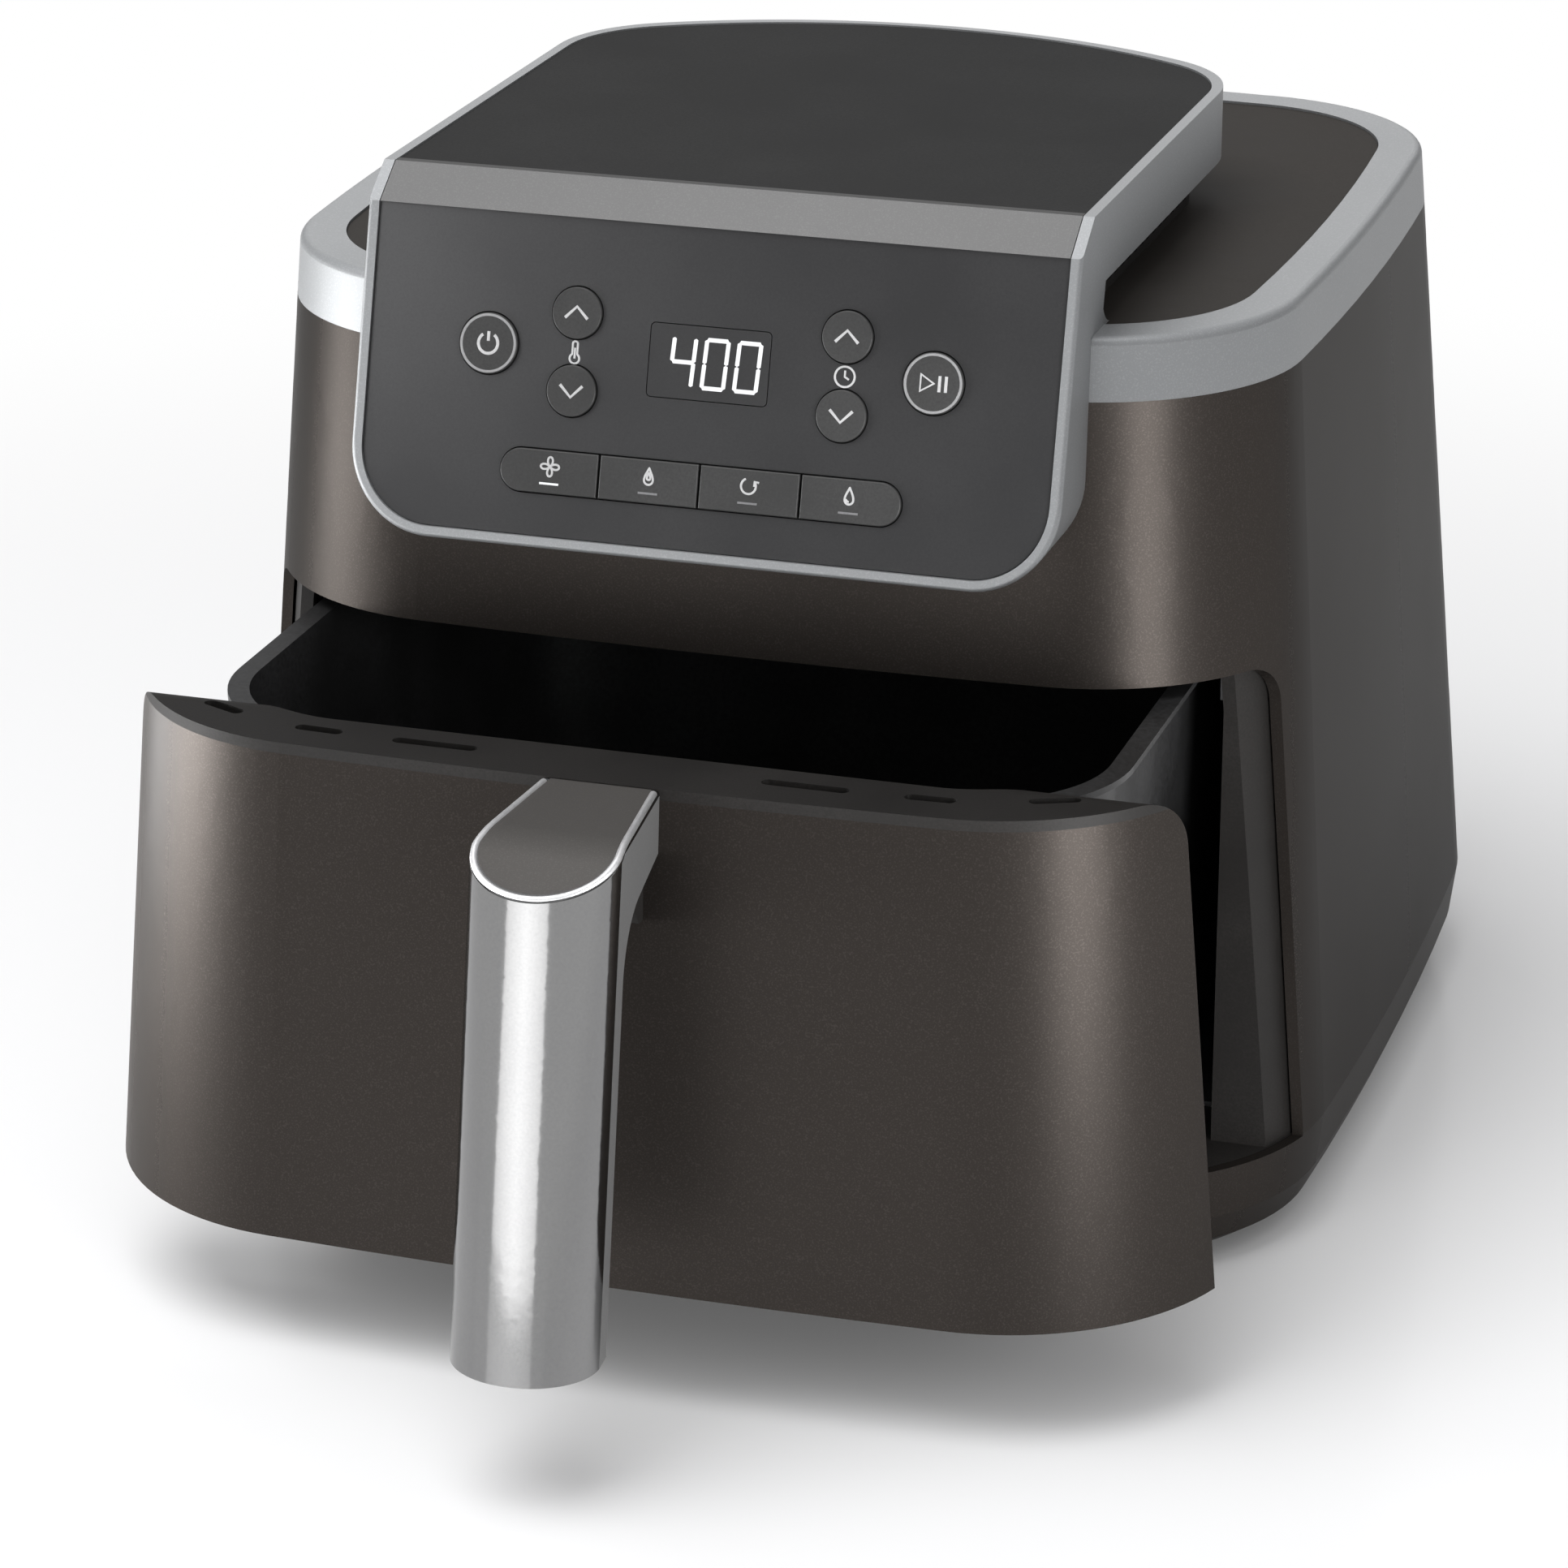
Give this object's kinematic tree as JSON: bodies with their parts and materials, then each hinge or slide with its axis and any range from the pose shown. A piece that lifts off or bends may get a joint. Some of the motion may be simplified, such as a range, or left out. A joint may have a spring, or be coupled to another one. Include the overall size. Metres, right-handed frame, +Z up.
{
  "type": "air fryer",
  "caption": "Countertop air fryer with a tapered housing, a raised control head and a pull-out drawer that holds a pan and a lift-out crisper plate.",
  "frame": {"origin": "bottom centre of the whole object at rest, with the drawer standing partly open", "axes": "+Z up, +X to the right as seen from the front, front faces -Y, +Y to the back"},
  "size_m": [0.275, 0.421, 0.255],
  "materials": {
    "bronze_paint": "dark bronze-grey metallic satin paint on moulded plastic",
    "black_plastic": "black moulded plastic, fine grain",
    "silver_paint": "satin silver paint",
    "strip_satin": "satin grey strip",
    "charcoal_panel": "charcoal satin film",
    "matte_cover": "matte dark grey, fine grain",
    "deck_plastic": "dark brown-grey satin",
    "smoked_lens": "smoked clear plastic",
    "button_plastic": "dark moulded plastic with printed marks",
    "nonstick": "black nonstick coating on pressed metal",
    "silicone": "black silicone",
    "foot_rubber": "black rubber",
    "chrome": "polished chrome",
    "handle_grey": "satin silver-grey paint",
    "handle_inlay": "dark grey satin",
    "liner_steel": "aluminised sheet steel",
    "element_sheath": "oxidised steel sheath",
    "guard_steel": "stainless steel",
    "motor_metal": "zinc plated can",
    "fan_aluminium": "bare aluminium",
    "fan_plastic": "black heat-proof plastic",
    "bush_bronze": "sintered bronze",
    "circuit_board": "green circuit board",
    "switch_plastic": "black plastic",
    "display_plastic": "display module",
    "screw_steel": "zinc plated steel",
    "duct_sheet": "sheet metal"
  },
  "bodies": {
    "housing": {"housing_shell": "bronze_paint", "base_plate": "black_plastic", "rubber_feet": "foot_rubber", "base_screws": "screw_steel", "rim_band": "silver_paint", "top_deck": "deck_plastic", "opening_frame": "black_plastic", "head_bezel": "silver_paint", "control_fascia": "charcoal_panel", "front_strip": "strip_satin", "head_top_cover": "matte_cover", "intake_grille": "black_plastic", "display_lens": "smoked_lens", "display_module": "display_plastic", "control_board": "circuit_board", "tact_switches": "switch_plastic", "chamber_liner": "liner_steel", "drawer_rails": "liner_steel", "heat_reflector": "liner_steel", "heating_element": "element_sheath", "element_guard": "guard_steel", "fan_motor": "motor_metal", "shaft_bushes": "bush_bronze", "motor_bracket": "liner_steel", "rear_vent": "black_plastic", "exhaust_duct": "duct_sheet", "cord_gland": "black_plastic", "power_board": "circuit_board", "temperature_sensor": "guard_steel", "interlock_switch": "switch_plastic"},
    "drawer": {"drawer_front": "bronze_paint", "drawer_cap": "black_plastic", "drawer_inner_shell": "black_plastic", "basket_pan": "nonstick", "handle_shell": "chrome", "handle_top_inlay": "handle_inlay", "handle_core": "handle_grey", "handle_bracket": "black_plastic", "handle_screws": "screw_steel"},
    "crisper": {"crisper_plate": "nonstick", "crisper_bumpers": "silicone"},
    "rotor": {"motor_shaft": "screw_steel", "convection_fan": "fan_aluminium", "cooling_fan": "fan_plastic", "hub_nut": "screw_steel"},
    "plunger": {"interlock_plunger": "switch_plastic"},
    "power_button": {"power_button": "button_plastic"},
    "start_button": {"start_button": "button_plastic"},
    "warmer_key": {"warmer_key": "button_plastic"},
    "cooler_key": {"cooler_key": "button_plastic"},
    "longer_key": {"longer_key": "button_plastic"},
    "shorter_key": {"shorter_key": "button_plastic"},
    "fry_key": {"fry_key": "button_plastic"},
    "roast_key": {"roast_key": "button_plastic"},
    "reheat_key": {"reheat_key": "button_plastic"},
    "dry_key": {"dry_key": "button_plastic"}
  },
  "joints": [
    {"name": "drawer_slide", "type": "slide", "parent": "housing", "child": "drawer", "axis": [0, -1, 0], "range_m": [-0.0838, 0.155]},
    {"name": "crisper_lift", "type": "slide", "parent": "drawer", "child": "crisper", "axis": [0, 0, 1], "range_m": [0, 0.08]},
    {"name": "fan_spin", "type": "hinge", "parent": "housing", "child": "rotor", "pos_m": [0, 0.0666, 0.18], "axis": [0, 0, 1], "continuous": true},
    {"name": "interlock_press", "type": "slide", "parent": "housing", "child": "plunger", "axis": [0, 1, 0], "range_m": [0, 0.003], "stiffness_N_per_m": 200},
    {"name": "power_press", "type": "slide", "parent": "housing", "child": "power_button", "axis": [0, 0.963, -0.2696], "range_m": [0, 0.001], "stiffness_N_per_m": 400},
    {"name": "start_press", "type": "slide", "parent": "housing", "child": "start_button", "axis": [0, 0.963, -0.2696], "range_m": [0, 0.001], "stiffness_N_per_m": 400},
    {"name": "warmer_press", "type": "slide", "parent": "housing", "child": "warmer_key", "axis": [0, 0.963, -0.2696], "range_m": [0, 0.001], "stiffness_N_per_m": 400},
    {"name": "cooler_press", "type": "slide", "parent": "housing", "child": "cooler_key", "axis": [0, 0.963, -0.2696], "range_m": [0, 0.001], "stiffness_N_per_m": 400},
    {"name": "longer_press", "type": "slide", "parent": "housing", "child": "longer_key", "axis": [0, 0.963, -0.2696], "range_m": [0, 0.001], "stiffness_N_per_m": 400},
    {"name": "shorter_press", "type": "slide", "parent": "housing", "child": "shorter_key", "axis": [0, 0.963, -0.2696], "range_m": [0, 0.001], "stiffness_N_per_m": 400},
    {"name": "fry_press", "type": "slide", "parent": "housing", "child": "fry_key", "axis": [0, 0.963, -0.2696], "range_m": [0, 0.001], "stiffness_N_per_m": 400},
    {"name": "roast_press", "type": "slide", "parent": "housing", "child": "roast_key", "axis": [0, 0.963, -0.2696], "range_m": [0, 0.001], "stiffness_N_per_m": 400},
    {"name": "reheat_press", "type": "slide", "parent": "housing", "child": "reheat_key", "axis": [0, 0.963, -0.2696], "range_m": [0, 0.001], "stiffness_N_per_m": 400},
    {"name": "dry_press", "type": "slide", "parent": "housing", "child": "dry_key", "axis": [0, 0.963, -0.2696], "range_m": [0, 0.001], "stiffness_N_per_m": 400}
  ]
}
